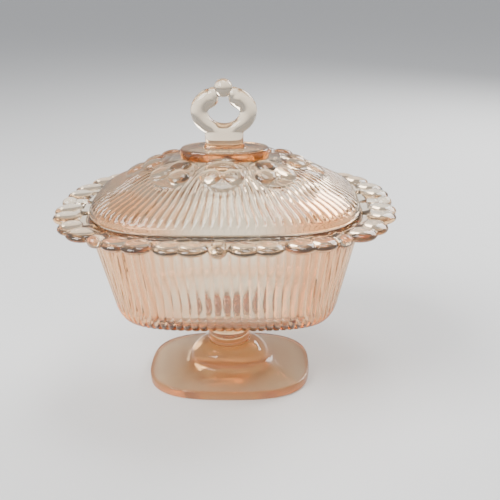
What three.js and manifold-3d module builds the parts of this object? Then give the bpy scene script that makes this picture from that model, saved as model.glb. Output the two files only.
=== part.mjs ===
// Covered candy dish in pressed pink glass: a footed oblong bowl with an open lace rim, and a
// domed lid with a ring handle.  Millimetres, +Z up, origin at the middle of the foot's underside,
// +X along the dish's length.  Every plan outline is a cushion shape, |x/a|^n + |y/b|^n = 1.
import * as THREE from 'three';
import { mergeVertices } from 'three/addons/utils/BufferGeometryUtils.js';
import Module from 'manifold-3d';

const wasm = await Module();
wasm.setup();

// ---- driving dimensions -------------------------------------------------------------------
const GAP = 0.3;                    // clearance kept between neighbouring sections

const FOOT_HALF_LENGTH = 46;
const FOOT_HALF_WIDTH = 34;
const FOOT_EDGE = 4.9;              // height of the foot's side
const FOOT_TOP = 8.8;               // height of the foot's top where the collar stands
const FOOT_SQUARENESS = 2.9;

const COLLAR_HALF_LENGTH = 23;
const COLLAR_HALF_WIDTH = 18.5;
const COLLAR_TOP = 19.6;
const COLLAR_SLOPE = 1.25;          // 1 would make the collar's side a round shoulder

const STEM_RADIUS = 11.5;
const STEM_BEAD_RADIUS = 12.2;
const STEM_BEAD_TOP = 24.6;
const STEM_FLARE_RADIUS = 16;       // where the stem spreads under the bowl

const BOWL_BOTTOM = 42.3;
const BOWL_RIM = 102.3;
const BOWL_HALF_LENGTH = 70.5;
const BOWL_TURN = 47.3;             // half-length of the flat underside
const BOWL_NARROWER = 17.7;         // how much less the bowl's half-width is than its half-length
const BOWL_WALL = 3.3;
const BOWL_SQUARENESS = 3.1;        // at the rim
const BOWL_FOOT_SQUARENESS = 3.5;   // where the wall turns under
const FLUTES = 96;                  // round the bowl
const FLUTE_DEPTH = 0.55;

const LACE_HALF_LENGTH = 85.2;      // outline at the notches between the lobes
const LACE_HALF_WIDTH = 68.4;
const LACE_SQUARENESS = 2.6;
const LACE_THICKNESS = 4.4;
const LACE_TOP = 103.7;
const LACE_END_RISE = 1;            // how much higher the two ends stand than the sides
const LACE_LEVEL_TO = 42;           // the rise starts this far from the middle
const LOBE_HEIGHT = 3;
const LOBES_BETWEEN_BEADS = 4;
const BEAD_WIDTH = 8.4;
const BEAD_HEIGHT = 3.4;
const CORNER_BEAD_ANGLE = 44.5;     // degrees from the length axis
const PINCH_OPENING = { halfLength: 5.4, halfWidth: 2.9, depth: 6.6 };
const STALK_OPENING = { halfLength: 2.1, halfWidth: 1.9, depth: 6.4 };
const STALK_OPENING_ASIDE = 6.3;    // from a bead's middle to the opening beside its stalk

const LID_HALF_LENGTH = 70.4;
const LID_HALF_WIDTH = 52.5;
const LID_WALL = 3.2;
const LID_SQUARENESS = 2.95;
const LID_TOP = 127.9;

const ROSETTE_REACH = 6.6;          // from a rosette's middle to the middle of a lobe
const ROSETTE_LOBE = [5.8, 5.2, 2.4];
const ROSETTE_SINK = 0.6;

const PLATE_HALF_LENGTH = 23.2;
const PLATE_HALF_WIDTH = 14;
const PLATE_TOP = 132.8;
const PLATE_SQUARENESS = 2.28;

const RING_CENTRE = 151.3;
const RING_HALF_WIDTH = 17;
const RING_HALF_HEIGHT = 13;
const RING_THICKNESS = 9;
const RING_ROUNDING = 2.7;
const NECK_HALF_WIDTH = 9.9;
const NECK_FLARE = 10.9;
const HOLE_HALF_WIDTH = 8.1;
const HOLE_BELOW = 6.1;             // how far the finger hole reaches below the ring's centre
const HOLE_ABOVE = 6.6;
const HOLE_TOP_HALF_WIDTH = 2.6;

const BALL_RADIUS = 4.7;
const BALL_CENTRE = 163;

// ---- cushion plans ------------------------------------------------------------------------
const lerp = THREE.MathUtils.lerp;
const rad = THREE.MathUtils.degToRad;
const share = (a, from, to) => THREE.MathUtils.clamp((a - from) / (to - from), 0, 1);

// The point of a cushion outline that lies at a plan angle.
function cushionPoint(a, b, n, angle) {
  const c = Math.cos(angle);
  const s = Math.sin(angle);
  const reach = (Math.abs(c / a) ** n + Math.abs(s / b) ** n) ** (-1 / n);
  return new THREE.Vector2(reach * c, reach * s);
}

// Turns distance along a cushion outline into a plan angle, from a fine walk round the outline.
function outlineWalk(a, b, n) {
  const steps = 1440;
  const distance = [0];
  for (let i = 1; i <= steps; i++) {
    const from = cushionPoint(a, b, n, 2 * Math.PI * (i - 1) / steps);
    const to = cushionPoint(a, b, n, 2 * Math.PI * i / steps);
    distance.push(distance[i - 1] + from.distanceTo(to));
  }
  const length = distance[steps];
  const angleAt = (d) => {
    const wrapped = ((d % length) + length) % length;
    const i = Math.max(1, distance.findIndex((v) => v >= wrapped));
    const t = (wrapped - distance[i - 1]) / (distance[i] - distance[i - 1]);
    return 2 * Math.PI * (i - 1 + t) / steps;
  };
  const distanceAt = (angle) => distance[Math.round(steps * angle / (2 * Math.PI))];
  return { length, angleAt, distanceAt };
}

// A closed surface of revolution whose circles are then drawn out into cushion outlines.
// profile: [half-length, height] points; shape(a) gives the half-width and squareness there;
// fluted: which profile points dip at every other column.
function cushionLathe(profile, columns, shape, fluted = []) {
  const points = profile.map(([a, z]) => new THREE.Vector2(a, z));
  const geometry = new THREE.LatheGeometry(points, columns);
  const walk = outlineWalk(BOWL_HALF_LENGTH, BOWL_HALF_LENGTH - BOWL_NARROWER, BOWL_SQUARENESS);
  const place = geometry.attributes.position;
  for (let column = 0; column <= columns; column++) {
    const angle = walk.angleAt(walk.length * (column % columns) / columns);
    for (let row = 0; row < points.length; row++) {
      const dips = fluted.includes(row) && column % 2 === 1;
      const a = points[row].x - (dips ? FLUTE_DEPTH : 0);
      const { b, n } = shape(points[row].x);
      const at = a > 0 ? cushionPoint(a, b - (dips ? FLUTE_DEPTH : 0), n, angle) : new THREE.Vector2();
      place.setXYZ(column * points.length + row, at.x, at.y, points[row].y);
    }
  }
  return facingOut(geometry);
}

// ---- solids and booleans ------------------------------------------------------------------
function bareMerged(geometry) {
  const bare = geometry.clone();
  bare.deleteAttribute('normal');
  bare.deleteAttribute('uv');
  return mergeVertices(bare, 1e-4);
}

function signedVolume(geometry) {
  const p = geometry.attributes.position;
  const index = geometry.index;
  const [a, b, c] = [new THREE.Vector3(), new THREE.Vector3(), new THREE.Vector3()];
  let volume = 0;
  for (let i = 0; i < index.count; i += 3) {
    a.fromBufferAttribute(p, index.getX(i));
    b.fromBufferAttribute(p, index.getX(i + 1));
    c.fromBufferAttribute(p, index.getX(i + 2));
    volume += a.dot(b.cross(c)) / 6;
  }
  return volume;
}

// The same closed surface with merged corners, no empty triangles, and its faces pointing out.
function facingOut(geometry) {
  const merged = bareMerged(geometry);
  const flip = signedVolume(merged) < 0;
  const kept = [];
  for (let i = 0; i < merged.index.count; i += 3) {
    const [a, b, c] = [0, 1, 2].map((k) => merged.index.getX(i + k));
    if (a !== b && b !== c && c !== a) kept.push(...(flip ? [a, c, b] : [a, b, c]));
  }
  merged.setIndex(kept);
  return merged;
}

function solidOf(geometry) {
  const closed = facingOut(geometry);
  const vertProperties = new Float32Array(closed.attributes.position.array);
  const triVerts = new Uint32Array(closed.index.array);
  return new wasm.Manifold(new wasm.Mesh({ numProp: 3, vertProperties, triVerts }));
}

function geometryOf(solid) {
  const mesh = solid.getMesh();
  const geometry = new THREE.BufferGeometry();
  geometry.setAttribute('position', new THREE.BufferAttribute(mesh.vertProperties, 3));
  geometry.setIndex(new THREE.BufferAttribute(mesh.triVerts, 1));
  return geometry;
}

// ---- foot and stem ------------------------------------------------------------------------
function footPlate() {
  const shape = (a) => {
    const t = share(a, COLLAR_HALF_LENGTH, FOOT_HALF_LENGTH);
    const inner = a * COLLAR_HALF_WIDTH / COLLAR_HALF_LENGTH;
    return { b: lerp(inner, a - FOOT_HALF_LENGTH + FOOT_HALF_WIDTH, t), n: lerp(2.2, FOOT_SQUARENESS, t) };
  };
  const profile = [
    [0, 0],
    [FOOT_HALF_LENGTH - 1.2, 0],
    [FOOT_HALF_LENGTH, 1.2],
    [FOOT_HALF_LENGTH, FOOT_EDGE - 1.3],
    [FOOT_HALF_LENGTH - 1.4, FOOT_EDGE],
    [COLLAR_HALF_LENGTH + 1, FOOT_TOP],
    [0, FOOT_TOP],
  ];
  return cushionLathe(profile, 64, shape);
}

function footCollar() {
  const spread = COLLAR_HALF_LENGTH - STEM_RADIUS;
  const shape = (a) => {
    const t = share(a, STEM_RADIUS, COLLAR_HALF_LENGTH);
    return { b: a - t * (COLLAR_HALF_LENGTH - COLLAR_HALF_WIDTH), n: 2 + 0.2 * t };
  };
  const base = FOOT_TOP + GAP;
  const profile = [[0, base], [COLLAR_HALF_LENGTH - 0.6, base]];
  const arcSteps = 5;
  for (let i = 0; i <= arcSteps; i++) {
    const turn = rad(90) * i / arcSteps;
    profile.push([
      STEM_RADIUS + 0.8 + (spread - 0.8) * Math.cos(turn) ** COLLAR_SLOPE,
      base + 1.6 + (COLLAR_TOP - base - 1.6) * Math.sin(turn),
    ]);
  }
  profile.push([0, COLLAR_TOP]);
  return cushionLathe(profile, 64, shape);
}

const round = (a) => ({ b: a, n: 2 });

function stemBead() {
  const low = COLLAR_TOP + GAP;
  const middle = (low + STEM_BEAD_TOP) / 2;
  const profile = [
    [0, low],
    [STEM_RADIUS - 0.3, low],
    [STEM_BEAD_RADIUS, middle - 1],
    [STEM_BEAD_RADIUS, middle + 1],
    [STEM_RADIUS - 0.3, STEM_BEAD_TOP],
    [0, STEM_BEAD_TOP],
  ];
  return cushionLathe(profile, 48, round);
}

function stem() {
  const low = STEM_BEAD_TOP + GAP;
  const profile = [
    [0, low],
    [STEM_RADIUS - 0.4, low],
    [STEM_RADIUS, low + 1],
    [STEM_RADIUS, 29.6],
    [STEM_BEAD_RADIUS, 30.4],
    [STEM_BEAD_RADIUS, 31.4],
    [STEM_RADIUS + 0.4, 32.4],
    [STEM_RADIUS + 1.4, 36],
    [STEM_FLARE_RADIUS, BOWL_BOTTOM - GAP],
    [0, BOWL_BOTTOM - GAP],
  ];
  return cushionLathe(profile, 48, round);
}

// ---- bowl and lace rim --------------------------------------------------------------------
const bowlPlan = (a) => {
  const t = share(a, BOWL_TURN, BOWL_HALF_LENGTH);
  const narrower = BOWL_NARROWER * Math.min(1, a / BOWL_TURN);
  return { b: a - narrower, n: lerp(BOWL_FOOT_SQUARENESS, BOWL_SQUARENESS, t) };
};

function bowl() {
  const profile = [
    [0, BOWL_BOTTOM],
    [BOWL_TURN, BOWL_BOTTOM],
    [BOWL_TURN + 4.8, BOWL_BOTTOM + 0.8],
    [BOWL_TURN + 8.6, BOWL_BOTTOM + 3],
    [BOWL_TURN + 11.4, BOWL_BOTTOM + 6.9],
    [BOWL_TURN + 13.3, BOWL_BOTTOM + 12.2],
    [BOWL_HALF_LENGTH - 0.3, BOWL_RIM - 5.8],
    [BOWL_HALF_LENGTH, BOWL_RIM - 3],
    [BOWL_HALF_LENGTH, BOWL_RIM],
    [BOWL_HALF_LENGTH - BOWL_WALL, BOWL_RIM],
    [BOWL_HALF_LENGTH - BOWL_WALL - 0.4, BOWL_RIM - 5.8],
    [BOWL_TURN + 9.9, BOWL_BOTTOM + 13.4],
    [BOWL_TURN + 6, BOWL_BOTTOM + 7.2],
    [BOWL_TURN + 0.4, BOWL_BOTTOM + 4.5],
    [0, BOWL_BOTTOM + 4.5],
  ];
  return cushionLathe(profile, 2 * FLUTES, bowlPlan, [2, 3, 4, 5, 6]);
}

// Where the beads, lobes and openings sit, as distances along the lace's outline.  Between two
// beads there is one opening at the pinch in the middle, and one beside each bead's stalk.
function laceStations(walk) {
  const corner = walk.distanceAt(rad(CORNER_BEAD_ANGLE));
  const quarter = walk.length / 4;
  const beads = [0, 1, 2, 3].flatMap((i) => (
    i % 2 ? [i * quarter, (i + 1) * quarter - corner] : [i * quarter, i * quarter + corner]
  ));
  const lobes = [];
  const openings = [];
  beads.forEach((bead, i) => {
    const next = i + 1 < beads.length ? beads[i + 1] : walk.length;
    const width = (next - bead - BEAD_WIDTH) / LOBES_BETWEEN_BEADS;
    for (let k = 0; k < LOBES_BETWEEN_BEADS; k++) {
      lobes.push({ middle: bead + BEAD_WIDTH / 2 + (k + 0.5) * width, width });
    }
    openings.push(
      { station: (bead + next) / 2, ...PINCH_OPENING },
      { station: bead + STALK_OPENING_ASIDE, ...STALK_OPENING },
      { station: next - STALK_OPENING_ASIDE, ...STALK_OPENING },
    );
  });
  return { beads, lobes, openings };
}

function laceRim() {
  const walk = outlineWalk(LACE_HALF_LENGTH, LACE_HALF_WIDTH, LACE_SQUARENESS);
  const outlineAt = (distance) => (
    cushionPoint(LACE_HALF_LENGTH, LACE_HALF_WIDTH, LACE_SQUARENESS, walk.angleAt(distance))
  );
  // A point a given height outside the outline, measured square to it.
  const offsetPoint = (distance, height) => {
    const here = outlineAt(distance);
    const along = outlineAt(distance + 0.5).sub(outlineAt(distance - 0.5)).normalize();
    return new THREE.Vector2(here.x + along.y * height, here.y - along.x * height);
  };
  const { beads, lobes, openings } = laceStations(walk);
  const bumps = [
    ...lobes.map(({ middle, width }) => ({ middle, width, height: LOBE_HEIGHT })),
    ...beads.map((middle) => ({ middle, width: BEAD_WIDTH, height: BEAD_HEIGHT })),
  ].sort((p, q) => p.middle - q.middle);

  const bumpSteps = 5;
  const outline = bumps.flatMap(({ middle, width, height }) => (
    Array.from({ length: bumpSteps }, (_, i) => {
      const turn = Math.PI * i / bumpSteps;
      return offsetPoint(middle - width / 2 * Math.cos(turn), height * Math.sin(turn));
    })
  ));
  const shape = new THREE.Shape(outline);

  const innerSteps = 96;
  const seat = BOWL_HALF_LENGTH + GAP;
  shape.holes.push(new THREE.Path(Array.from({ length: innerSteps }, (_, i) => (
    cushionPoint(seat, seat - BOWL_NARROWER, BOWL_SQUARENESS, -2 * Math.PI * i / innerSteps)
  ))));
  const openingSteps = 10;
  for (const { station, halfLength, halfWidth, depth } of openings) {
    shape.holes.push(new THREE.Path(Array.from({ length: openingSteps }, (_, i) => {
      const turn = 2 * Math.PI * i / openingSteps;
      const along = station + halfLength * Math.cos(turn);
      return offsetPoint(along, halfWidth * Math.sin(turn) - depth);
    })));
  }

  const geometry = new THREE.ExtrudeGeometry(shape, { depth: LACE_THICKNESS, bevelEnabled: false });
  geometry.translate(0, 0, LACE_TOP - LACE_THICKNESS);
  return facingOut(liftEnds(geometry));
}

// Curves the lace upward towards its two ends.
function liftEnds(geometry) {
  const place = geometry.attributes.position;
  for (let i = 0; i < place.count; i++) {
    const past = Math.max(0, Math.abs(place.getX(i)) - LACE_LEVEL_TO);
    const lift = LACE_END_RISE * (past / (LACE_HALF_LENGTH - LACE_LEVEL_TO)) ** 2;
    place.setZ(i, place.getZ(i) + lift);
  }
  return geometry;
}

// ---- lid ----------------------------------------------------------------------------------
const lidPlan = (a) => {
  const t = share(a, PLATE_HALF_LENGTH, LID_HALF_LENGTH);
  const inner = a * PLATE_HALF_WIDTH / PLATE_HALF_LENGTH;
  const outer = lerp(PLATE_HALF_WIDTH, LID_HALF_WIDTH, t);
  return { b: t > 0 ? outer : inner, n: lerp(PLATE_SQUARENESS, LID_SQUARENESS, t) };
};

// The dome's outer profile, from its crown down to the plain band above the rim.
const LID_CROWN = [
  [22.5, LID_TOP],
  [36, 125.4],
  [50, 119.6],
  [60, 114.1],
  [67.2, 109.6],
  [69.9, 105.8],
];

// The height of the dome's outer surface over a plan point.
function lidTopAt(x, y) {
  let [low, high] = [LID_CROWN[0][0], LID_CROWN.at(-1)[0]];
  while (high - low > 0.01) {
    const a = (low + high) / 2;
    const { b, n } = lidPlan(a);
    if (Math.abs(x / a) ** n + Math.abs(y / b) ** n < 1) high = a;
    else low = a;
  }
  const next = LID_CROWN.findIndex(([a]) => a >= high);
  const [[a0, z0], [a1, z1]] = LID_CROWN.slice(next - 1, next + 1);
  return lerp(z0, z1, (high - a0) / (a1 - a0));
}

// Three raised lobes round a middle, the first of them pointing along a plan direction.
function rosette(x, y, pointing) {
  return [0, 120, 240].map((around) => {
    const turn = pointing + rad(around);
    const [lobeX, lobeY] = [x + ROSETTE_REACH * Math.cos(turn), y + ROSETTE_REACH * Math.sin(turn)];
    const lobe = new THREE.SphereGeometry(1, 10, 6);
    lobe.rotateX(rad(90));
    lobe.scale(...ROSETTE_LOBE);
    lobe.rotateZ(turn);
    lobe.translate(lobeX, lobeY, lidTopAt(lobeX, lobeY) - ROSETTE_SINK);
    return solidOf(lobe);
  });
}

// The ring of eight rosettes, given by the ones over the quarter where x and y are positive.
function rosettes() {
  const quarter = [
    { x: 0, y: 26, pointing: [0, -1] },
    { x: 25, y: 20.8, pointing: [1, 0] },
    { x: 41, y: 0, pointing: [1, 0] },
  ];
  return quarter.flatMap(({ x, y, pointing: [px, py] }) => (
    (x ? [1, -1] : [1]).flatMap((sideX) => (
      (y ? [1, -1] : [1]).flatMap((sideY) => (
        rosette(sideX * x, sideY * y, Math.atan2(sideY * py, sideX * px))
      ))
    ))
  ));
}

function lidDome() {
  const rimBottom = BOWL_RIM + GAP;
  const profile = [
    [0, LID_TOP],
    ...LID_CROWN,
    [LID_HALF_LENGTH, rimBottom + 1.4],
    [LID_HALF_LENGTH, rimBottom],
    [LID_HALF_LENGTH - LID_WALL, rimBottom],
    [LID_HALF_LENGTH - LID_WALL - 0.3, rimBottom + 2.3],
    [64.4, 107.6],
    [57.4, 112.1],
    [48, 116.9],
    [34.5, 121.6],
    [0, 124.2],
  ];
  const dome = cushionLathe(profile, FLUTES, lidPlan);
  return geometryOf(rosettes().reduce((whole, lobe) => whole.add(lobe), solidOf(dome)));
}

function knobPlate() {
  const low = LID_TOP + GAP;
  const shape = (a) => ({ b: a * PLATE_HALF_WIDTH / PLATE_HALF_LENGTH, n: PLATE_SQUARENESS });
  const profile = [
    [0, low],
    [PLATE_HALF_LENGTH - 0.6, low],
    [PLATE_HALF_LENGTH, low + 0.6],
    [PLATE_HALF_LENGTH, PLATE_TOP - 0.9],
    [PLATE_HALF_LENGTH - 0.9, PLATE_TOP],
    [0, PLATE_TOP],
  ];
  return cushionLathe(profile, 64, shape);
}

// ---- ring handle and ball -----------------------------------------------------------------
function ballSolid(radius) {
  const ball = new THREE.SphereGeometry(radius, 20, 12);
  ball.rotateX(rad(90));
  ball.translate(0, 0, BALL_CENTRE);
  return solidOf(ball);
}

// Points along an ellipse in the ring's plane, both ends included.
function ellipseArc(halfWidth, halfHeight, from, to, steps) {
  return Array.from({ length: steps + 1 }, (_, i) => {
    const turn = lerp(from, to, i / steps);
    return new THREE.Vector2(halfWidth * Math.cos(turn), RING_CENTRE + halfHeight * Math.sin(turn));
  });
}

const mirrored = (points) => points.map((p) => new THREE.Vector2(-p.x, p.y)).reverse();

function ringHandle() {
  const neckTurn = -Math.acos(NECK_HALF_WIDTH / RING_HALF_WIDTH);
  const neckSide = [
    new THREE.Vector2(NECK_FLARE, PLATE_TOP + GAP),
    new THREE.Vector2(NECK_HALF_WIDTH + 0.1, PLATE_TOP + 4.8),
  ];
  const arch = ellipseArc(RING_HALF_WIDTH, RING_HALF_HEIGHT, neckTurn, Math.PI - neckTurn, 32);
  const outline = new THREE.Shape([...neckSide, ...arch, ...mirrored(neckSide)]);

  const holeSide = [
    new THREE.Vector2(HOLE_HALF_WIDTH - 1.2, RING_CENTRE + 2),
    new THREE.Vector2(HOLE_TOP_HALF_WIDTH + 1.6, RING_CENTRE + 4),
    new THREE.Vector2(HOLE_TOP_HALF_WIDTH, RING_CENTRE + HOLE_ABOVE),
  ];
  const holeBottom = ellipseArc(HOLE_HALF_WIDTH, HOLE_BELOW, -Math.PI, 0, 16);
  outline.holes.push(new THREE.Path([...holeBottom, ...holeSide, ...mirrored(holeSide)]));

  const ring = new THREE.ExtrudeGeometry(outline, {
    depth: RING_THICKNESS - 2 * RING_ROUNDING,
    bevelThickness: RING_ROUNDING,
    bevelSize: RING_ROUNDING,
    bevelOffset: -RING_ROUNDING,
    bevelSegments: 2,
  });
  ring.translate(0, 0, RING_ROUNDING - RING_THICKNESS / 2);
  ring.rotateX(rad(90));
  return geometryOf(solidOf(ring).subtract(ballSolid(BALL_RADIUS + GAP)));
}

// ---- assembly -----------------------------------------------------------------------------
const glass = (color, roughness) => (
  new THREE.MeshStandardMaterial({ color, roughness, metalness: 0, transparent: true, opacity: 0.6 })
);

function section(name, geometry, color, roughness = 0.08) {
  const mesh = new THREE.Mesh(geometry, glass(color, roughness));
  mesh.name = name;
  return mesh;
}

const footedBowl = new THREE.Group();
footedBowl.add(
  section('foot_plate', footPlate(), 0xd9b391, 0.25),
  section('foot_collar', footCollar(), 0xe0b28c),
  section('stem_bead', stemBead(), 0xd58d5c),
  section('stem', stem(), 0xdba47a),
  section('bowl', bowl(), 0xe7c0a2),
  section('lace_rim', laceRim(), 0xf0d7bb),
);

const lid = new THREE.Group();
lid.add(
  section('lid_dome', lidDome(), 0xe9c5a6),
  section('knob_plate', knobPlate(), 0xd58a55),
  section('ring_handle', ringHandle(), 0xe8d6c8),
  section('finial_ball', geometryOf(ballSolid(BALL_RADIUS)), 0xe8d6c8),
);

const dish = new THREE.Group();
dish.add(footedBowl, lid);

export default dish;
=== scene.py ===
"""A covered candy dish in pressed pink glass, built as its two real pieces: the footed bowl with its
open lace rim, and the ribbed lid with its ring handle.  Each is one closed mesh, so light bends
through it as through one casting.  Lengths in the shape code are millimetres."""

import math

import bmesh
import bpy
import numpy as np
from mathutils import Matrix, Vector


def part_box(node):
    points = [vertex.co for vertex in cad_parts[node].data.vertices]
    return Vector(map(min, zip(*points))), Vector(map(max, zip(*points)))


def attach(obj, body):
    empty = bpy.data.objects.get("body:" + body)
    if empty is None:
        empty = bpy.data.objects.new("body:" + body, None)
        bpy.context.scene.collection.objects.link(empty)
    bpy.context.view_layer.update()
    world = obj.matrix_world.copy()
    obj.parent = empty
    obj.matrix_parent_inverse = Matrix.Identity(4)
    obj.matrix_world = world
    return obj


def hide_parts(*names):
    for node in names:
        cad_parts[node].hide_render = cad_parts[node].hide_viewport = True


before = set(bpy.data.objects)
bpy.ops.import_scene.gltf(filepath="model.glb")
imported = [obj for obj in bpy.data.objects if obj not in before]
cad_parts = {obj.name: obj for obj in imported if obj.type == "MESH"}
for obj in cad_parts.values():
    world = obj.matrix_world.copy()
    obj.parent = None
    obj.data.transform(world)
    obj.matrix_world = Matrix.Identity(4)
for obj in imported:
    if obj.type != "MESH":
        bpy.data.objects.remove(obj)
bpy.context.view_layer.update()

MM = 0.001


def node_box(node):
    """A CAD node's lowest and highest corners in millimetres."""
    low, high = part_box(node)
    return np.array(low) / MM, np.array(high) / MM


_, foot_high = node_box("foot_plate")
collar_low, collar_high = node_box("foot_collar")
bowl_low, bowl_high = node_box("bowl")
lace_low, lace_high = node_box("lace_rim")
dome_low, dome_high = node_box("lid_dome")
plate_low, plate_high = node_box("knob_plate")
ball_low, ball_high = node_box("finial_ball")

# ---- sizes that shape the surfaces, in millimetres -----------------------------------------
FLUTES = 96
COLUMNS = 6 * FLUTES       # how many points each ring of a mesh has
WALL = 3.3
CORNER_EXTRA = 1.6         # how much thicker the walls are where they turn a corner
FLUTE_DEPTH = 0.75
RIB_DEPTH = 0.8
FOOT_SIDE = 5.0            # height of the foot's side
STEM_RADIUS = 11.5
UNDERCROWN = 15.9          # the stem's radius where it has spread out under the bowl

BOWL_PLAN = (bowl_high[0], bowl_high[1], 3.25)         # half-length, half-width, squareness
LID_PLAN = (dome_high[0], dome_high[1], 2.95)
PLATE_PLAN = (plate_high[0], plate_high[1], 2.28)
FOOT_PLAN = (foot_high[0], foot_high[1], 2.9)
COLLAR_PLAN = (collar_high[0], collar_high[1], 2.2)

CROWN_TOP = plate_low[2] - 0.3
CROWN_INSIDE = 124.5       # height of the lid's inside at its middle

LACE_PLAN = (lace_high[0] - 0.3, lace_high[1] - 0.3, 2.6)   # round the tips of the lobes
LACE_MIDDLE = lace_low[2] + 2.2    # height of the lace's middle plane along the sides
LACE_END_RISE = 1.0
LACE_LEVEL_TO = 42.0               # the rise starts this far from the middle
CORNER_BEAD_ANGLE = math.radians(44.5)
BEAD_HALF_WIDTH = 4.2

# A rosette's middle (x, y), and which way its first lobe points.  Each repeats in every quarter.
ROSETTES = [(0.0, 23.9, (0, -1)), (24.6, 20.4, (1, 0)), (40.6, 0.0, (1, 0))]
ROSETTE_RELIEF = 2.0
MOUND_RELIEF = 2.8

NECK_TOP = 142.0
RING_MIDDLE = 151.3        # height of the ring's middle
RING_HALF_WIDTH = 17.0
RING_HALF_HEIGHT = 13.2
RING_TOP_GAP = math.radians(52)    # where the ring's two arms end below the ball
BALL_RADIUS = 4.7
BALL_CRADLE = (5.5, 159.8)         # x and height of the glass that fills in beside the ball


# ---- plan outlines --------------------------------------------------------------------------
def cushion(plan, angle):
    """Points of the outline |x/a|^n + |y/b|^n = 1 at plan angles."""
    a, b, n = plan
    c, s = np.cos(angle), np.sin(angle)
    reach = (np.abs(c / a) ** n + np.abs(s / b) ** n) ** (-1 / n)
    return np.stack([reach * c, reach * s], -1)


def walk_outline(plan, steps=5760):
    """Distance walked round an outline, with the plan angle that it belongs to."""
    angle = np.linspace(0, 2 * np.pi, steps + 1)
    points = cushion(plan, angle)
    hops = np.linalg.norm(np.diff(points, axis=0), axis=1)
    return np.concatenate([[0], np.cumsum(hops)]), angle


def outward(outline):
    """Unit normals of a closed outline that runs anticlockwise."""
    along = np.roll(outline, -1, 0) - np.roll(outline, 1, 0)
    along /= np.linalg.norm(along, axis=1)[:, None]
    return np.stack([along[:, 1], -along[:, 0]], -1)


RIM_WALK, RIM_ANGLES = walk_outline(BOWL_PLAN)
COLUMN_ANGLE = np.interp(np.arange(COLUMNS) * RIM_WALK[-1] / COLUMNS, RIM_WALK, RIM_ANGLES)
RIM = cushion(BOWL_PLAN, COLUMN_ANGLE)
RIM_NORMAL = outward(RIM)
CORNERNESS = (2 * RIM_NORMAL[:, 0] * RIM_NORMAL[:, 1]) ** 2   # 1 where a corner turns, 0 on sides
FLUTE_PHASE = (np.arange(COLUMNS) * FLUTES / COLUMNS) % 1
LACE_WALK, LACE_ANGLES = walk_outline(LACE_PLAN)


def smooth_step(x, low, high):
    """0 up to low, 1 from high on, and a smooth rise between them."""
    t = np.clip((x - low) / (high - low), 0, 1)
    return t * t * (3 - 2 * t)


def curve_through(points, count):
    """Points spaced evenly along a smooth curve through a few given ones."""
    points = np.array(points, float)
    hops = np.linalg.norm(np.diff(points, axis=0), axis=1)
    knots = np.concatenate([[0], np.cumsum(hops)])
    slopes = np.gradient(points, knots, axis=0)
    at = np.linspace(0, knots[-1], count)
    i = np.clip(np.searchsorted(knots, at) - 1, 0, len(hops) - 1)
    h = hops[i][:, None]
    t = ((at - knots[i]) / hops[i])[:, None]
    return (
        (2 * t**3 - 3 * t**2 + 1) * points[i]
        + (t**3 - 2 * t**2 + t) * h * slopes[i]
        + (3 * t**2 - 2 * t**3) * points[i + 1]
        + (t**3 - t**2) * h * slopes[i + 1]
    )


def quarter_round(start, corner, end, count):
    """A rounded corner from start to end, as a quadratic curve that leans on the corner."""
    start, corner, end = (np.array(p, float) for p in (start, corner, end))
    t = np.linspace(0, 1, count)[:, None]
    return (1 - t) ** 2 * start + 2 * t * (1 - t) * corner + t**2 * end


def rib(phase):
    """One rounded rib across a flute's pitch: 1 on its crest, 0 in the groove."""
    return np.sqrt(np.clip(1 - (2 * phase - 1) ** 2, 0, 1))


# ---- meshes ---------------------------------------------------------------------------------
def rings_mesh(rings, first_pole, last_pole):
    """A closed surface from rings of equal length between two pole points, in millimetres."""
    rows, columns = len(rings), len(rings[0])
    points = np.concatenate([*rings, [first_pole], [last_pole]])
    step = np.arange(columns)
    after = (step + 1) % columns
    faces = []
    for row in range(rows - 1):
        low, high = row * columns, (row + 1) * columns
        faces.append(np.stack([low + step, low + after, high + after, high + step], -1))
    quads = np.concatenate(faces).tolist()
    first, last = rows * columns, rows * columns + 1
    end = (rows - 1) * columns
    quads += [[first, b, a] for a, b in zip(step.tolist(), after.tolist())]
    quads += [[last, end + a, end + b] for a, b in zip(step.tolist(), after.tolist())]
    return new_object(points, quads)


def level_ring(outline, height):
    """An outline as a ring of points at one height."""
    return np.column_stack([outline, np.full(len(outline), height)])


def new_object(points, faces):
    """A closed mesh, given in millimetres, with its faces turned outwards."""
    mesh = bpy.data.meshes.new("part")
    mesh.from_pydata((np.asarray(points) * MM).tolist(), [], faces)
    mesh.validate()
    piece = bpy.data.objects.new("part", mesh)
    bpy.context.scene.collection.objects.link(piece)
    face_outwards(piece)
    return piece


def face_outwards(piece):
    """Turns the faces of a closed mesh outwards."""
    work = bmesh.new()
    work.from_mesh(piece.data)
    bmesh.ops.recalc_face_normals(work, faces=work.faces)
    if work.calc_volume(signed=True) < 0:
        bmesh.ops.reverse_faces(work, faces=work.faces)
    work.to_mesh(piece.data)
    work.free()


def apply_modifiers(piece):
    """Replaces a piece's mesh with what its modifiers make of it."""
    bpy.context.view_layer.update()
    graph = bpy.context.evaluated_depsgraph_get()
    finished = bpy.data.meshes.new_from_object(piece.evaluated_get(graph))
    piece.modifiers.clear()
    piece.data = finished


def fuse(parts, voxel, smoothing):
    """One solid from overlapping ones, with the joints between them softly filled."""
    with bpy.context.temp_override(active_object=parts[0], selected_editable_objects=parts):
        bpy.ops.object.join()
    whole = parts[0]
    remesh = whole.modifiers.new("fuse", "REMESH")
    remesh.mode = "VOXEL"
    remesh.voxel_size = voxel * MM
    soften = whole.modifiers.new("soften", "SMOOTH")
    soften.factor = 0.5
    soften.iterations = smoothing
    apply_modifiers(whole)
    return whole


def weld(whole, addition):
    """Joins two closed solids that overlap into one."""
    join = whole.modifiers.new("weld", "BOOLEAN")
    join.operation = "UNION"
    join.object = addition
    join.solver = "MANIFOLD"
    apply_modifiers(whole)
    bpy.data.objects.remove(addition)
    return whole


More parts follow.
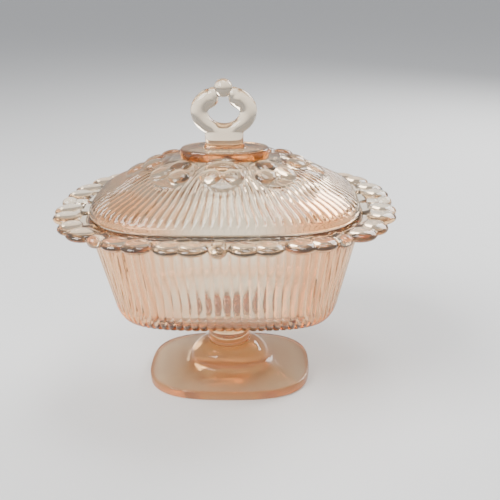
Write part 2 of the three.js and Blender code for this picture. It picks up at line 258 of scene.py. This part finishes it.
def blob(middle, half_sizes, turn=0.0):
    """A smooth ellipsoid, in millimetres, turned about Z."""
    mesh = bpy.data.meshes.new("blob")
    work = bmesh.new()
    place = (
        Matrix.Translation(Vector(middle) * MM)
        @ Matrix.Rotation(turn, 4, "Z")
        @ Matrix.Diagonal([*(s * MM for s in half_sizes), 1.0])
    )
    bmesh.ops.create_icosphere(work, subdivisions=4, radius=1.0, matrix=place)
    work.to_mesh(mesh)
    work.free()
    piece = bpy.data.objects.new("blob", mesh)
    bpy.context.scene.collection.objects.link(piece)
    return piece


# ---- the footed bowl ------------------------------------------------------------------------
def end_lift(x, share=1.0):
    """How far the lace curves up towards the ends of the dish."""
    reach = np.clip((np.abs(x) - LACE_LEVEL_TO) / (LACE_PLAN[0] - LACE_LEVEL_TO), 0, 1)
    return LACE_END_RISE * reach**2 * share


def foot_and_stem_rings():
    """Rings from the foot's flat underside up to where the stem spreads under the bowl."""
    foot = cushion(FOOT_PLAN, COLUMN_ANGLE)
    collar = cushion(COLLAR_PLAN, COLUMN_ANGLE)
    disc = cushion((1, 1, 2), COLUMN_ANGLE)
    edge = foot_high[0]
    top = collar_low[2] - 0.3
    rings = []

    for share in (0.5, 0.8, 0.93):
        rings.append(level_ring(foot * share, 0.0))
    side = np.concatenate([
        quarter_round((edge - 1.0, 0.0), (edge, 0.0), (edge, 1.0), 5),
        quarter_round((edge, 3.9), (edge, 4.9), (edge - 1.1, FOOT_SIDE), 7),
    ])
    for half_length, height in side:
        rings.append(level_ring(foot * (half_length / edge), height))
    for t in np.linspace(0.06, 1, 16):
        height = FOOT_SIDE + (top - FOOT_SIDE) * (0.75 * t + 0.25 * t**3)
        rings.append(level_ring(foot * 0.972 * (1 - t) + collar * 1.06 * t, height))
    bun_rise = collar_high[2] - top - 1.6
    for turn in np.linspace(0, 0.5 * math.pi, 16):
        spread = max(0.0, math.cos(turn)) ** 1.25
        outline = collar * spread + disc * (STEM_RADIUS + 0.3) * (1 - spread)
        height = top + 0.9 + (bun_rise + 0.7) * math.sin(turn) ** 1.15
        rings.append(level_ring(outline, height))
    stem_profile = [
        (11.2, 19.9), (11.9, 20.6), (12.3, 21.8), (12.2, 23.2), (11.6, 24.2), (11.15, 24.7),
        (11.45, 25.3), (11.5, 26.5), (11.35, 28.2), (11.4, 29.6), (11.95, 30.2), (12.25, 30.8),
        (12.0, 31.5), (11.7, 32.2), (11.8, 33.6), (12.2, 36.2), (13.3, 39.2), (15.5, 41.5),
    ]
    for radius, height in curve_through(stem_profile, 44):
        rings.append(level_ring(disc * radius, height))
    return rings


def bowl_profile():
    """The bowl's outside as (distance outward from its rim outline, height, flute depth)."""
    bottom, rim = bowl_low[2], bowl_high[2]
    under = [(-30.0, bottom + 0.1), (-26.0, bottom)]
    turn_up = quarter_round((-23.2, bottom), (-12.7, bottom), (-9.9, bottom + 12.2), 15)
    wall = np.column_stack([np.linspace(-9.7, -0.2, 24), np.linspace(bottom + 13.1, rim - 6.2, 24)])
    neck = quarter_round((-0.1, rim - 5.6), (0.2, rim - 3.4), (1.8, rim - 3.1), 7)
    outer = np.concatenate([under, turn_up, wall, neck])
    fade_in = smooth_step(outer[:, 0], -24.0, -20.5)
    fade_out = 1 - smooth_step(outer[:, 1], rim - 8.5, rim - 5.5)
    return outer, FLUTE_DEPTH * fade_in * fade_out


def bowl_body():
    """Foot, stem, bowl and the plain band that the lace springs from, without the lace."""
    rings = foot_and_stem_rings()
    disc = cushion((1, 1, 2), COLUMN_ANGLE)
    inset = RIM - 30.0 * RIM_NORMAL
    for t in np.linspace(0.15, 0.85, 6):
        outline = disc * UNDERCROWN * (1 - t) + inset * t
        rings.append(level_ring(outline, bowl_low[2] - 0.3 + 0.35 * t))

    profile, depth = bowl_profile()
    slope = np.gradient(profile, axis=0)
    slope /= np.linalg.norm(slope, axis=1)[:, None]
    for (reach, height), (out, up), deep in zip(profile, slope, depth):
        dip = deep * (rib(FLUTE_PHASE) - 1)
        at = RIM + (reach + up * dip)[:, None] * RIM_NORMAL
        rings.append(np.column_stack([at, height - out * dip]))

    band = np.concatenate([
        [(2.8, -3.05), (3.6, -2.95)],
        quarter_round((4.2, -2.85), (5.3, -2.65), (5.3, -1.2), 6),
        quarter_round((5.3, -0.8), (5.3, 0.5), (4.0, 0.55), 6),
        [(3.0, 0.42), (2.0, 0.22), (1.2, 0.08), (0.4, 0.0), (-0.6, -0.05)],
        quarter_round((-2.6, -0.05), (-WALL, -0.1), (-WALL - 0.1, -1.0), 6),
    ])
    for reach, above_rim in band:
        lift = end_lift(RIM[:, 0], smooth_step(reach, 0.2, 8.0))
        at = RIM + reach * RIM_NORMAL
        rings.append(np.column_stack([at, bowl_high[2] + above_rim + lift]))

    floor = bowl_low[2] + 4.5
    inside = np.concatenate([
        np.column_stack([
            np.linspace(-WALL - 0.3, -13.0, 16),
            np.linspace(bowl_high[2] - 3.0, floor + 10.5, 16),
        ]),
        quarter_round((-13.3, floor + 9.0), (-15.4, floor), (-25.0, floor - 0.1), 14),
    ])
    for reach, height in inside:
        thicker = CORNER_EXTRA * CORNERNESS * smooth_step(bowl_high[2] - height, 3.0, 15.0)
        at = RIM + (reach - thicker)[:, None] * RIM_NORMAL
        rings.append(level_ring(at, height))
    inner = RIM - 25.0 * RIM_NORMAL
    for share in (0.75, 0.5, 0.25):
        rings.append(level_ring(inner * share, floor - 0.1))
    return rings_mesh(rings, (0, 0, 0), (0, 0, floor - 0.1))


def lace_stations():
    """Distances along the lace's outline: the middles of the beads, alternately on a side and at
    a corner; each outer lobe's middle, its width, and which way its partner lies; and the middles
    of the inner lobes, where the outer ones meet in pairs."""
    quarter = LACE_WALK[-1] / 4
    corner = np.interp(CORNER_BEAD_ANGLE, LACE_ANGLES, LACE_WALK)
    beads = [0, corner, quarter, 2 * quarter - corner]
    beads += [2 * quarter + b for b in beads]
    lobes, inner = [], []
    for bead, following in zip(beads, beads[1:] + [4 * quarter]):
        first = bead + BEAD_HALF_WIDTH
        width = (following - bead - 2 * BEAD_HALF_WIDTH) / 4
        lobes += [(first + (k + 0.5) * width, width, -1 if k % 2 else 1) for k in range(4)]
        inner += [first + k * width for k in (1, 3)]
    return beads, lobes, inner


def lace_place(distance, depth):
    """The point at a distance along the lace's outline and a depth inside it."""
    angle = np.interp(distance % LACE_WALK[-1], LACE_WALK, LACE_ANGLES)
    before, here, beyond = cushion(LACE_PLAN, angle + np.array([-0.004, 0, 0.004]))
    along = (beyond - before) / np.linalg.norm(beyond - before)
    normal = np.array([along[1], -along[0]])
    x, y = here - depth * normal
    return np.array([x, y, LACE_MIDDLE + end_lift(x)])


def lace():
    """The open lace: eight beads on stalks, with two trefoils between each pair of beads.  The
    openings are left where neighbouring trefoils and stalks do not meet."""
    beads, lobes, inner = lace_stations()
    parts = []

    def add(tip, root, half_width, half_height):
        """A lobe that reaches from a root point out to a tip, both as (distance, depth)."""
        ends = lace_place(*tip), lace_place(*root)
        span = ends[0] - ends[1]
        half_length = 0.5 * np.linalg.norm(span)
        size = (half_length, half_width, half_height)
        parts.append(blob((ends[0] + ends[1]) / 2, size, math.atan2(span[1], span[0])))

    for i, station in enumerate(beads):
        tip = 1.3 if i % 2 else -0.1
        add((station, tip), (station, tip + 8.4), 4.3, 3.2)
        add((station, 4.0), (station, 17.0), 3.7, 2.2)
    for station, width, toward in lobes:
        tip, root = station - toward * 0.12 * width, station + toward * 0.3 * width
        add((tip, 0.0), (root, 13.4), 0.5 * width + 0.9, 2.8)
    for station in inner:
        add((station, 7.2), (station, 17.4), 5.4, 2.2)
    return fuse(parts, 0.42, 4)


# ---- the lid --------------------------------------------------------------------------------
def lid_plan(half_length):
    """The dome's plan outline where its half-length is given."""
    t = (half_length - PLATE_PLAN[0]) / (LID_PLAN[0] - PLATE_PLAN[0])
    if t < 0:
        scale = half_length / PLATE_PLAN[0]
        return half_length, PLATE_PLAN[1] * scale, PLATE_PLAN[2]
    half_width = PLATE_PLAN[1] + t * (LID_PLAN[1] - PLATE_PLAN[1])
    return half_length, half_width, PLATE_PLAN[2] + t * (LID_PLAN[2] - PLATE_PLAN[2])


def lid_crown():
    """The dome's outside as (half-length, height), from under the knob plate to its rim."""
    rim = dome_low[2]
    edge = LID_PLAN[0]
    return curve_through([
        (6, CROWN_TOP), (22.5, CROWN_TOP - 0.1), (28, 127.2), (34, 126.0), (42, 123.5),
        (50, 119.6), (57, 115.6), (63, 112.5), (67.2, 109.7), (edge - 0.8, 106.4),
        (edge - 0.1, rim + 2.0), (edge - 0.1, rim + 1.5),
    ], 118)


def rosette_lobes():
    """Each raised lobe as (x, y, direction, half-length, half-width), and each rosette's middle.
    The rosettes in the middle of a long side have one broad lobe, next to the knob plate."""
    lobes, middles = [], []
    for x, y, (px, py) in ROSETTES:
        for side_x in (1, -1) if x else (1,):
            for side_y in (1, -1) if y else (1,):
                pointing = math.atan2(side_y * py, side_x * px)
                middles.append((side_x * x, side_y * y))
                for around in (0, 120, 240):
                    turn = pointing + math.radians(around)
                    size = (4.4, 7.4) if x == 0 and around == 0 else (5.2, 5.0)
                    lobes.append((
                        side_x * x + 6.4 * math.cos(turn),
                        side_y * y + 5.6 * math.sin(turn),
                        turn,
                        *size,
                    ))
    return lobes, middles


def rosette_relief(x, y):
    """How far the rosettes stand proud at plan points, and where ribs give way to them."""
    lobes, middles = rosette_lobes()
    relief = np.zeros_like(x)
    for lobe_x, lobe_y, turn, half_length, half_width in lobes:
        along = (x - lobe_x) * math.cos(turn) + (y - lobe_y) * math.sin(turn)
        across = -(x - lobe_x) * math.sin(turn) + (y - lobe_y) * math.cos(turn)
        span = (np.abs(along) / half_length) ** 2.3 + (np.abs(across) / half_width) ** 2.3
        relief = np.maximum(relief, ROSETTE_RELIEF * np.sqrt(np.clip(1 - span, 0, 1)))
    nearest = np.full_like(x, 1e9)
    for middle_x, middle_y in middles:
        nearest = np.minimum(nearest, np.hypot(x - middle_x, y - middle_y))
    groove = np.exp(-(((nearest - 12.0) / 0.7) ** 2))
    clear = smooth_step(nearest, 11.4, 13.2)
    mound = 1 - (x / 8.5) ** 2 - ((np.abs(y) - 12.0) / 4.6) ** 2
    relief = np.maximum(relief, MOUND_RELIEF * np.sqrt(np.clip(mound, 0, 1)))
    return relief - 0.4 * groove * (relief < 0.02), clear


def lid_body():
    """The dome with its ribs and rosettes, and its smooth inside."""
    crown = lid_crown()
    slope = np.gradient(crown, axis=0)
    slope /= np.linalg.norm(slope, axis=1)[:, None]
    rings = []
    for (half_length, height), (out, up) in zip(crown, slope):
        plan = cushion(lid_plan(half_length), COLUMN_ANGLE)
        relief, clear = rosette_relief(plan[:, 0], plan[:, 1])
        ends = smooth_step(half_length, 27.0, 35.0) * smooth_step(height, 106.4, 108.8)
        dip = RIB_DEPTH * ends * clear * (rib(FLUTE_PHASE) - 1) + relief
        at = plan + (-up * dip)[:, None] * outward(plan)
        rings.append(np.column_stack([at, height + out * dip]))

    rim = dome_low[2]
    edge = LID_PLAN[0]
    for half_length, height in np.concatenate([
        quarter_round((edge - 0.15, rim + 1.2), (edge - 0.3, rim), (edge - 1.5, rim), 7),
        quarter_round((edge - 2.0, rim), (edge - 3.2, rim), (edge - 3.25, rim + 1.1), 6),
        curve_through([
            (edge - 3.3, rim + 1.8), (edge - 4.3, 105.4), (63.4, 107.5), (59.6, 109.7),
            (54.6, 112.6), (48.5, 115.8), (41.0, 118.9), (34.0, 121.6), (22.0, 123.9),
            (8.0, CROWN_INSIDE),
        ], 44),
    ]):
        plan = cushion(lid_plan(half_length), COLUMN_ANGLE)
        thicker = CORNER_EXTRA * CORNERNESS * smooth_step(height, rim + 1.0, rim + 4.0)
        thicker = thicker * smooth_step(half_length, 30.0, 50.0)
        at = plan - thicker[:, None] * outward(plan)
        rings.append(level_ring(at, height))
    return rings_mesh(rings, (0, 0, CROWN_TOP), (0, 0, CROWN_INSIDE))


def tube(spine, radii):
    """A round bar of varying thickness along a curve in the X-Z plane, with domed ends."""
    spine = np.array(spine, float)
    along = np.gradient(spine, axis=0)
    along /= np.linalg.norm(along, axis=1)[:, None]
    across = np.stack([along[:, 1], -along[:, 0]], -1)
    turns = np.linspace(0, 2 * np.pi, 40, endpoint=False)
    rings = []
    for (x, z), (ax, az), (in_plane, deep) in zip(spine, across, radii):
        swing = np.cos(turns) * in_plane
        rings.append(np.column_stack([x + ax * swing, np.sin(turns) * deep, z + az * swing]))
    first, last = spine[0] - 0.2 * along[0], spine[-1] + 0.2 * along[-1]
    return rings_mesh(rings, (first[0], 0, first[1]), (last[0], 0, last[1]))


def knob_plate():
    """The oval plate on top of the dome."""
    edge = PLATE_PLAN[0]
    low, top = plate_low[2] - 1.2, plate_high[2]
    rings = []
    for half_length, height in (
        (0.4, low), (edge - 0.2, low), (edge, plate_low[2] + 1.5),
        (edge, top - 0.9), (edge - 0.9, top - 0.1), (edge - 3.0, top),
    ):
        plan = (half_length, PLATE_PLAN[1] * half_length / edge, PLATE_PLAN[2])
        rings.append(level_ring(cushion(plan, COLUMN_ANGLE), height))
    return rings_mesh(rings, (0, 0, low), (0, 0, top))


def knob_neck():
    """The flat neck between the plate and the ring."""
    low = plate_high[2] - 1.2
    rings = []
    for half_length, half_width, height in (
        (11.6, 5.6, low), (10.9, 5.2, low + 1.6), (10.1, 4.7, low + 3.2), (9.9, 4.5, low + 5.6),
        (9.9, 4.3, NECK_TOP),
    ):
        outline = cushion((half_length, half_width, 3.2), COLUMN_ANGLE)
        rings.append(level_ring(outline, height))
    return rings_mesh(rings, (0, 0, low), (0, 0, NECK_TOP))


def ring_handle():
    """The open ring, thinner below than at the ends of its two arms."""
    turns = np.linspace(RING_TOP_GAP, -math.pi - RING_TOP_GAP, 90)
    rise = np.sin(turns)
    in_plane = 4.45 - 0.95 * np.clip(-rise, 0, 1) ** 2 + 0.6 * np.clip(rise, 0, 1)
    spine = np.stack([
        (RING_HALF_WIDTH - in_plane) * np.cos(turns),
        RING_MIDDLE + (RING_HALF_HEIGHT - in_plane) * rise,
    ], -1)
    radii = np.stack([in_plane, np.full(len(turns), 4.4)], -1)
    parts = [tube(spine, radii)]
    for end in (0, -1):
        parts.append(blob((spine[end][0], 0, spine[end][1]), (radii[end][0], 4.2, radii[end][0])))
    return parts


def knob():
    """The plate, the neck, the ring and the ball, melted into one casting."""
    parts = [knob_plate(), knob_neck(), *ring_handle()]
    x, height = BALL_CRADLE
    parts += [blob((side * x, 0, height), (3.2, 3.9, 3.7)) for side in (1, -1)]
    parts.append(blob(tuple((ball_low + ball_high) / 2), (BALL_RADIUS, BALL_RADIUS, BALL_RADIUS)))
    return fuse(parts, 0.36, 5)


# ---- glass ----------------------------------------------------------------------------------
def paint(piece, name, amounts):
    """Stores one amount, from 0 to 1, for each of a piece's vertices."""
    layer = piece.data.attributes.new(name, "FLOAT", "POINT")
    layer.data.foreach_set("value", np.clip(amounts, 0, 1).astype(np.float32))


def vertices_of(piece):
    """A piece's vertices in millimetres, one row each."""
    flat = np.empty(3 * len(piece.data.vertices))
    piece.data.vertices.foreach_get("co", flat)
    return flat.reshape(-1, 3) / MM


def near_corner(x, y, plan):
    """1 on the line from the middle to a plan outline's corners, falling to 0 along its sides."""
    a, b, _ = plan
    balance = np.log((np.abs(x) / a + 1e-6) / (np.abs(y) / b + 1e-6))
    return np.exp(-((balance / 0.75) ** 2))


def plan_reach(x, y, plan):
    """How far out a point is on the scale of a plan outline: 1 on the outline itself."""
    a, b, n = plan
    return (np.abs(x / a) ** n + np.abs(y / b) ** n) ** (1 / n)


def paint_bowl(piece):
    """Paints light into the bowl's glass: orange painted where light would run a long way through
    it, at its corners, round its floor and at the foot's edge.
    The foot's top is worn and its underside is ground."""
    x, y, z = vertices_of(piece).T
    bottom, rim = bowl_low[2], bowl_high[2]
    # Painted light: orange is painted where light would run a long way through the glass, at the
    # corners, round the floor's edge and along the foot's side.
    corners = near_corner(x, y, BOWL_PLAN) * smooth_step(z, bottom, bottom + 6) * (z < rim - 2)
    turn = smooth_step(plan_reach(x, y, BOWL_PLAN), 0.5, 0.66) * (z > bottom - 1)
    floor_edge = 0.8 * turn * (1 - smooth_step(z, bottom + 5, bottom + 12))
    foot_side = smooth_step(plan_reach(x, y, FOOT_PLAN), 0.96, 0.985) * (z < 6)
    paint(piece, "painted_edge_light", np.maximum.reduce([corners, floor_edge, foot_side]))
    paint(piece, "worn", smooth_step(z, 4.7, 4.95) * (1 - smooth_step(z, 8.6, 9.6)))
    paint(piece, "ground", 1 - smooth_step(z, 0.2, 0.6))


def paint_lid(piece):
    """Paints light into the lid's glass: orange painted where light would run a long way through it,
    at its corners and at the knob plate's side.
    """
    x, y, z = vertices_of(piece).T
    # Painted light: orange is painted where light would run a long way through the glass, at the
    # lid's corners and the knob plate's side.
    out = smooth_step(plan_reach(x, y, LID_PLAN), 0.62, 0.85)
    corners = near_corner(x, y, LID_PLAN) * out
    reach = plan_reach(x, y, PLATE_PLAN)
    side = smooth_step(reach, 0.93, 0.985) * (reach < 1.01) * (z > plate_low[2])
    side *= 1 - smooth_step(z, plate_high[2] - 1.2, plate_high[2] - 0.3)
    paint(piece, "painted_edge_light", np.maximum(corners, 0.8 * side))
    paint(piece, "worn", np.zeros_like(z))
    paint(piece, "ground", np.zeros_like(z))


def pink_glass(name):
    """Clear pressed glass, faintly rippled by the press and finely hazed.  It is pale pink where it
    is thin, with orange painted light where light would run long through it, dulled where worn and
    cloudy where ground."""
    material = bpy.data.materials.new(name)
    material.use_nodes = True
    nodes, links = material.node_tree.nodes, material.node_tree.links
    nodes.clear()
    output = nodes.new("ShaderNodeOutputMaterial")
    surface = nodes.new("ShaderNodeBsdfPrincipled")
    surface.inputs["IOR"].default_value = 1.5
    links.new(surface.outputs["BSDF"], output.inputs["Surface"])
    volume = nodes.new("ShaderNodeVolumeAbsorption")
    volume.inputs["Color"].default_value = (0.985, 0.71, 0.3, 1)
    volume.inputs["Density"].default_value = 58
    links.new(volume.outputs["Volume"], output.inputs["Volume"])
    place = nodes.new("ShaderNodeTexCoord").outputs["Object"]

    def noise(scale, detail):
        texture = nodes.new("ShaderNodeTexNoise")
        texture.inputs["Scale"].default_value = scale
        texture.inputs["Detail"].default_value = detail
        links.new(place, texture.inputs["Vector"])
        return texture.outputs["Fac"]

    def remap(value, from_min, from_max, to_min, to_max):
        step = nodes.new("ShaderNodeMapRange")
        for socket, amount in zip(("From Min", "From Max", "To Min", "To Max"),
                                  (from_min, from_max, to_min, to_max)):
            step.inputs[socket].default_value = amount
        links.new(value, step.inputs["Value"])
        return step.outputs["Result"]

    def painted(layer):
        attribute = nodes.new("ShaderNodeAttribute")
        attribute.attribute_name = layer
        return attribute.outputs["Fac"]

    # The glass's own pale tint (A), mixed towards orange painted light (B) where the painted layer
    # marks long light paths through the glass.
    tint = nodes.new("ShaderNodeMix")
    tint.data_type = "RGBA"
    tint.inputs["A"].default_value = (1.0, 0.96, 0.885, 1)
    tint.inputs["B"].default_value = (1.0, 0.68, 0.45, 1)
    links.new(painted("painted_edge_light"), tint.inputs["Factor"])
    links.new(tint.outputs["Result"], surface.inputs["Base Color"])

    bump = nodes.new("ShaderNodeBump")
    bump.inputs["Strength"].default_value = 0.08
    bump.inputs["Distance"].default_value = 0.0004
    links.new(noise(180, 3), bump.inputs["Height"])
    links.new(bump.outputs["Normal"], surface.inputs["Normal"])

    dulled = nodes.new("ShaderNodeMath")
    dulled.operation = "ADD"
    links.new(remap(noise(60, 6), 0.35, 0.75, 0.015, 0.06), dulled.inputs[0])
    links.new(remap(painted("worn"), 0, 1, 0, 0.12), dulled.inputs[1])
    links.new(dulled.outputs["Value"], surface.inputs["Roughness"])
    links.new(remap(painted("ground"), 0, 1, 0.97, 0.6), surface.inputs["Transmission Weight"])
    return material


def finish_piece(piece, name, material):
    """Names a piece, gives it its glass, and shades it smooth except at sharp edges."""
    piece.name = name
    piece.data.name = name
    piece.data.materials.clear()
    piece.data.materials.append(material)
    piece.data.polygons.foreach_set("use_smooth", [True] * len(piece.data.polygons))
    piece.data.set_sharp_from_angle(angle=math.radians(50))


# ---- camera and studio ----------------------------------------------------------------------
def add_camera():
    """A camera in front of the dish, a little above it, that sees the whole of it."""
    azimuth, elevation, roll = (math.radians(v) for v in (1.68, 22.27, -0.70))
    distance, shift_right, look_height = 0.384, 0.0125, 0.0747
    back = Vector((
        math.sin(azimuth) * math.cos(elevation),
        -math.cos(azimuth) * math.cos(elevation),
        math.sin(elevation),
    ))
    right = Vector((math.cos(azimuth), math.sin(azimuth), 0))
    up = back.cross(right)
    rolled_right = math.cos(roll) * right + math.sin(roll) * up
    rolled_up = -math.sin(roll) * right + math.cos(roll) * up
    data = bpy.data.cameras.new("camera")
    data.sensor_width = 36
    data.lens = 50.2
    data.clip_start = 0.01
    camera = bpy.data.objects.new("camera", data)
    place = Vector((0, 0, look_height)) + shift_right * right + distance * back
    facing = Matrix((rolled_right, rolled_up, back)).transposed().to_4x4()
    camera.matrix_world = Matrix.Translation(place) @ facing
    bpy.context.scene.collection.objects.link(camera)
    bpy.context.scene.camera = camera


def add_softbox(name, place, aim_height, size, power):
    """A rectangular soft lamp that points at a height on the dish's axis, in metres."""
    data = bpy.data.lights.new(name, "AREA")
    data.shape = "RECTANGLE"
    data.size, data.size_y = size
    data.energy = power
    lamp = bpy.data.objects.new(name, data)
    lamp.location = place
    towards_dish = Vector((0, 0, aim_height)) - Vector(place)
    lamp.rotation_euler = towards_dish.to_track_quat("-Z", "Y").to_euler()
    bpy.context.scene.collection.objects.link(lamp)


def add_studio():
    """A pale paper floor, an even pale sky, and three soft lamps."""
    mesh = bpy.data.meshes.new("floor")
    work = bmesh.new()
    bmesh.ops.create_circle(work, cap_ends=True, radius=6.0, segments=96)
    bmesh.ops.translate(work, verts=work.verts, vec=(0, 0, -0.0003))
    work.to_mesh(mesh)
    work.free()
    floor = bpy.data.objects.new("floor", mesh)
    bpy.context.scene.collection.objects.link(floor)
    paper = bpy.data.materials.new("floor_paper")
    paper.use_nodes = True
    coating = paper.node_tree.nodes["Principled BSDF"]
    coating.inputs["Base Color"].default_value = (0.8, 0.8, 0.79, 1)
    coating.inputs["Roughness"].default_value = 0.7
    floor.data.materials.append(paper)

    world = bpy.data.worlds.new("studio")
    bpy.context.scene.world = world
    world.use_nodes = True
    glow = world.node_tree.nodes["Background"]
    glow.inputs["Color"].default_value = (0.93, 0.95, 1.0, 1)
    glow.inputs["Strength"].default_value = 0.55
    add_softbox("key", (-0.5, -0.35, 0.75), 0.08, (0.5, 0.5), 12)
    add_softbox("rim", (0.55, 0.6, 0.6), 0.08, (0.6, 0.4), 9)
    add_softbox("top", (0.1, 0.1, 1.1), 0.1, (0.5, 0.3), 4)


add_camera()
add_studio()

bowl_piece = weld(bowl_body(), lace())
paint_bowl(bowl_piece)
finish_piece(bowl_piece, "base_glass", pink_glass("bowl_pink_glass"))
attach(bowl_piece, "footed_bowl")
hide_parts("foot_plate", "foot_collar", "stem_bead", "stem", "bowl", "lace_rim")

lid_piece = weld(lid_body(), knob())
paint_lid(lid_piece)
finish_piece(lid_piece, "lid_glass", pink_glass("lid_pink_glass"))
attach(lid_piece, "lid")
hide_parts("lid_dome", "knob_plate", "ring_handle", "finial_ball")
